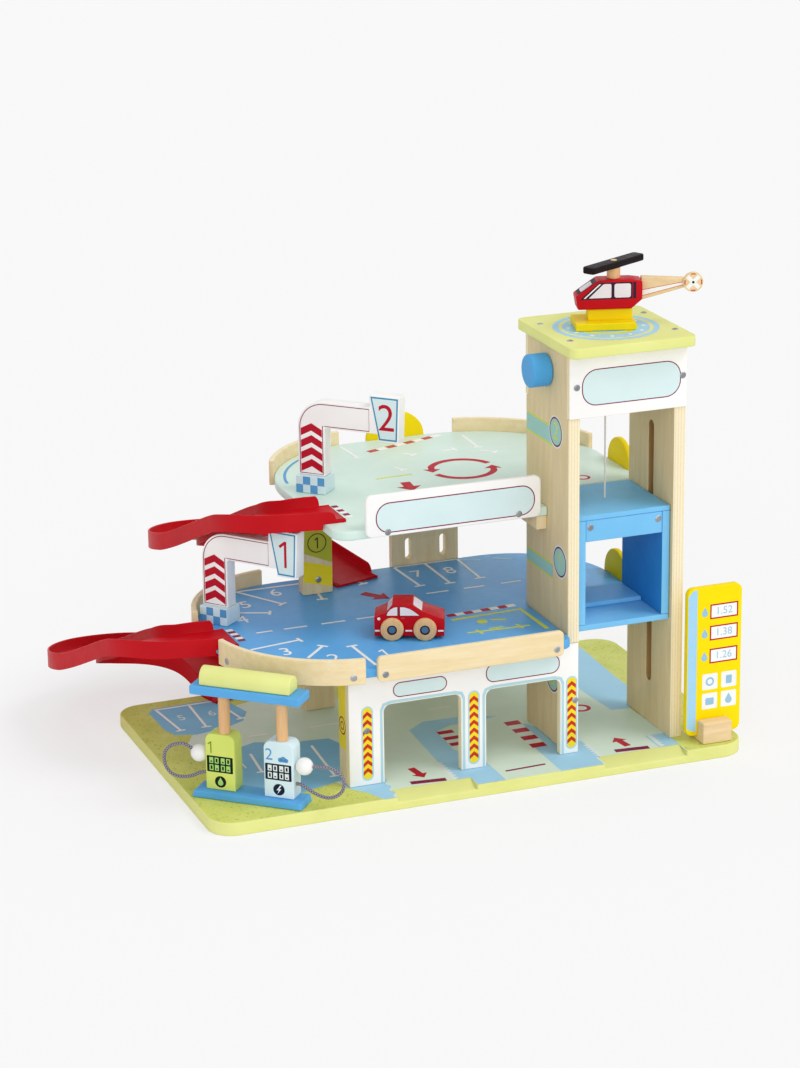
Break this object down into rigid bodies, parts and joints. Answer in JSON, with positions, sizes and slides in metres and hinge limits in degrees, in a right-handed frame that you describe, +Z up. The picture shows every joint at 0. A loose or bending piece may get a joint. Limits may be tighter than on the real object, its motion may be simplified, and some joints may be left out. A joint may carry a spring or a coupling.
{
  "type": "toy parking garage with lift",
  "caption": "Wooden toy parking garage: base, two parking decks, hand-wound lift in a tower, spiral ramps, signs, pump island, car and helicopter.",
  "frame": {"origin": "centre of the base board's underside", "axes": "+Z up, +X to the right along the front edge, +Y to the back"},
  "size_m": [0.6711, 0.486, 0.5325],
  "materials": {
    "birch_ply": "bare birch plywood, clear satin",
    "beech": "bare beech, smooth",
    "lime_paint": "satin paint on wood, printed grass and roads",
    "blue_paint": "satin paint on wood, printed parking bays",
    "lift_blue_paint": "satin paint on wood",
    "mint_paint": "satin paint on wood, printed parking bays",
    "pale_blue_paint": "satin paint on wood",
    "white_paint": "satin paint on wood, printed borders",
    "yellow_paint": "satin paint on wood",
    "red_paint": "satin paint on wood",
    "green_paint": "satin paint on wood",
    "dark_paint": "satin paint on wood",
    "red_plastic": "moulded, glossy",
    "hose_braid": "grey braided cord",
    "string": "thin white twisted string"
  },
  "bodies": {
    "garage": {"base_board": "lime_paint", "tower_left_wall": "birch_ply", "tower_right_wall": "birch_ply", "tower_front_board": "white_paint", "tower_back_board": "white_paint", "tower_roof": "lime_paint", "lift_cord": "string", "ground_front_panel": "white_paint", "side_post": "birch_ply", "lower_rear_post": "birch_ply", "upper_rear_post": "birch_ply", "back_panel": "birch_ply", "deck_1": "blue_paint", "deck_2": "mint_paint", "deck_2_cleat": "birch_ply", "deck_1_front_rail": "birch_ply", "deck_1_corner_rail": "birch_ply", "deck_1_rear_rail": "birch_ply", "deck_2_left_rail": "birch_ply", "deck_2_rear_rail": "birch_ply", "deck_2_name_board": "white_paint", "deck_2_back_stop": "yellow_paint", "deck_2_side_stop": "yellow_paint", "deck_1_side_stop": "yellow_paint", "upper_ramp": "red_plastic", "lower_ramp": "red_plastic", "price_sign_foot": "beech"},
    "lift": {"lift_floor": "lift_blue_paint", "lift_top": "lift_blue_paint", "lift_left_wall": "lift_blue_paint", "lift_right_wall": "lift_blue_paint", "lift_lintel": "lift_blue_paint", "lift_step": "lift_blue_paint"},
    "winder": {"winding_shaft": "beech", "winding_knob": "blue_paint"},
    "level_sign_1": {"level_sign_1_base": "pale_blue_paint", "level_sign_1_board": "white_paint"},
    "level_sign_2": {"level_sign_2_base": "pale_blue_paint", "level_sign_2_board": "white_paint"},
    "price_board": {"price_sign_board": "yellow_paint"},
    "pump_island": {"pump_island_base": "lift_blue_paint", "pump_canopy": "lift_blue_paint", "pump_canopy_block": "green_paint", "pump_1": "green_paint", "pump_2": "pale_blue_paint", "canopy_post_1": "beech", "canopy_post_2": "beech", "nozzle_bead_1": "white_paint", "nozzle_bead_2": "white_paint", "pump_hose_1": "hose_braid", "pump_hose_2": "hose_braid"},
    "car": {"car_body": "red_paint"},
    "car_rear_axle": {"car_rear_wheels": "beech"},
    "car_front_axle": {"car_front_wheels": "beech"},
    "helicopter": {"helicopter_skids": "yellow_paint", "helicopter_body": "red_paint", "helicopter_boom": "beech", "rotor_mast": "beech"},
    "helicopter_rotor": {"main_rotor": "dark_paint"},
    "helicopter_tail_rotor": {"tail_rotor": "beech"}
  },
  "joints": [
    {"name": "lift_slide", "type": "slide", "parent": "garage", "child": "lift", "axis": [0, 0, 1], "range_m": [-0.1335, 0.12], "deforming": ["lift_cord"]},
    {"name": "winder_turn", "type": "hinge", "parent": "garage", "child": "winder", "pos_m": [0.1734, -0.0844, 0.424], "axis": [1, 0, 0], "range_deg": [-960, 1070]},
    {"name": "level_sign_1_slide", "type": "slide", "parent": "garage", "child": "level_sign_1", "axis": [0.7738, 0.6334, 0], "range_m": [0, 0.025]},
    {"name": "level_sign_2_slide", "type": "slide", "parent": "garage", "child": "level_sign_2", "axis": [0.7059, 0.7083, 0], "range_m": [0, 0.04]},
    {"name": "price_board_pull", "type": "slide", "parent": "garage", "child": "price_board", "axis": [0, 0, 1], "range_m": [0, 0.05]},
    {"name": "pump_island_lift_off", "type": "slide", "parent": "garage", "child": "pump_island", "axis": [0, 0, 1], "range_m": [0, 0.05]},
    {"name": "car_drive", "type": "slide", "parent": "garage", "child": "car", "axis": [0.9198, -0.3923, 0], "range_m": [-0.06, 0.08]},
    {"name": "car_rear_axle_turn", "type": "hinge", "parent": "car", "child": "car_rear_axle", "pos_m": [-0.0704, -0.0865, 0.1614], "axis": [0.3923, 0.9198, 0], "range_deg": [-290, 385]},
    {"name": "car_front_axle_turn", "type": "hinge", "parent": "car", "child": "car_front_axle", "pos_m": [-0.03867, -0.10004, 0.1614], "axis": [0.3923, 0.9198, 0], "range_deg": [-290, 385]},
    {"name": "helicopter_lift_off", "type": "slide", "parent": "garage", "child": "helicopter", "axis": [0, 0, 1], "range_m": [0, 0.12]},
    {"name": "rotor_spin", "type": "hinge", "parent": "helicopter", "child": "helicopter_rotor", "pos_m": [0.1817, -0.08401, 0.5284], "axis": [0, 0, 1], "continuous": true},
    {"name": "tail_rotor_spin", "type": "hinge", "parent": "helicopter", "child": "helicopter_tail_rotor", "pos_m": [0.26052, -0.11025, 0.5072], "axis": [0.2756, 0.9613, 0], "continuous": true}
  ],
  "couplings": [
    {"joint": "winder_turn", "follows": "lift_slide", "rad_per_m": -138.89},
    {"joint": "car_rear_axle_turn", "follows": "car_drive", "rad_per_m": 82.645},
    {"joint": "car_front_axle_turn", "follows": "car_drive", "rad_per_m": 82.645}
  ]
}
